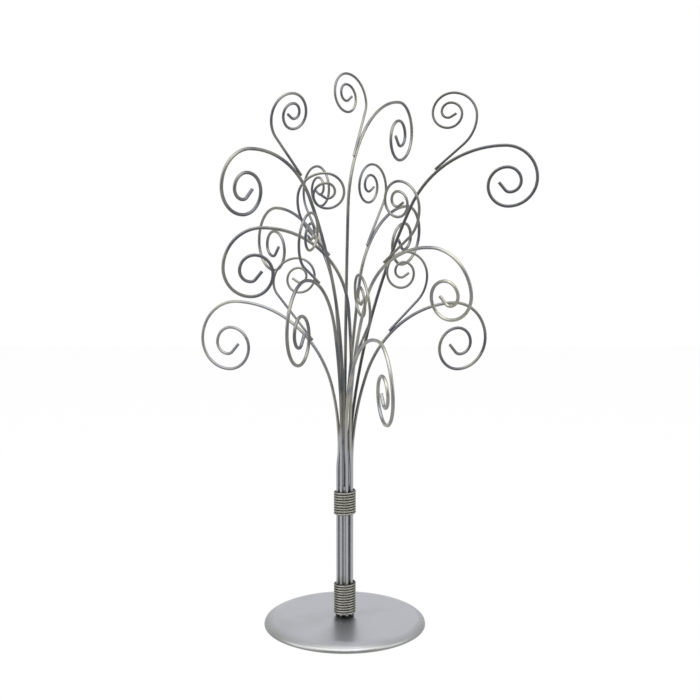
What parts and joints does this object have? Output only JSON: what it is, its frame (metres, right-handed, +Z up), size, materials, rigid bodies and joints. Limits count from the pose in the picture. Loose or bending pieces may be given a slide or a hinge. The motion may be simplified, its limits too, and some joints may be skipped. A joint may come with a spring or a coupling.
{
  "type": "photo tree stand",
  "caption": "Tabletop photo tree: curl-ended wire branches fan out from a bound wire trunk on a round weighted base, to hold photos and small hanging frames.",
  "frame": {"origin": "middle of the underside of the base pad, on the surface that the stand rests on", "axes": "+Z up along the trunk, +X to the right of the stand seen from the front, +Y to the back"},
  "size_m": [0.2635, 0.2653, 0.428],
  "materials": {
    "pad": "matt thin foam rubber",
    "base": "satin pewter-grey lacquer on steel",
    "screw": "zinc-plated steel",
    "collar": "satin pewter plating",
    "core": "dark pewter plating",
    "binding": "antique pewter plating, darker in the grooves",
    "branch": "satin pewter plating on steel wire",
    "shoot": "satin pewter plating on steel wire"
  },
  "bodies": {
    "root": {"base_pad": "pad", "base_disc": "base", "base_screw": "screw", "foot_collar": "collar", "trunk_core": "core", "lower_binding": "binding", "upper_binding": "binding", "branch_top_front_left": "branch", "branch_mid_left": "branch", "branch_low_left": "branch", "branch_mid_back_left": "branch", "branch_low_front_left": "branch", "branch_top_back": "branch", "branch_top_right": "branch", "branch_mid_back": "branch", "branch_mid_front_right": "branch", "branch_low_right": "branch", "branch_low_front": "branch", "shoot_top_front_left": "shoot", "shoot_mid_left": "shoot", "shoot_low_left": "shoot", "shoot_mid_back_left": "shoot", "shoot_low_front_left": "shoot", "shoot_top_back": "shoot", "shoot_top_right": "shoot", "shoot_mid_back": "shoot", "shoot_mid_front_right": "shoot", "shoot_low_right": "shoot", "shoot_low_front": "shoot"}
  },
  "joints": []
}
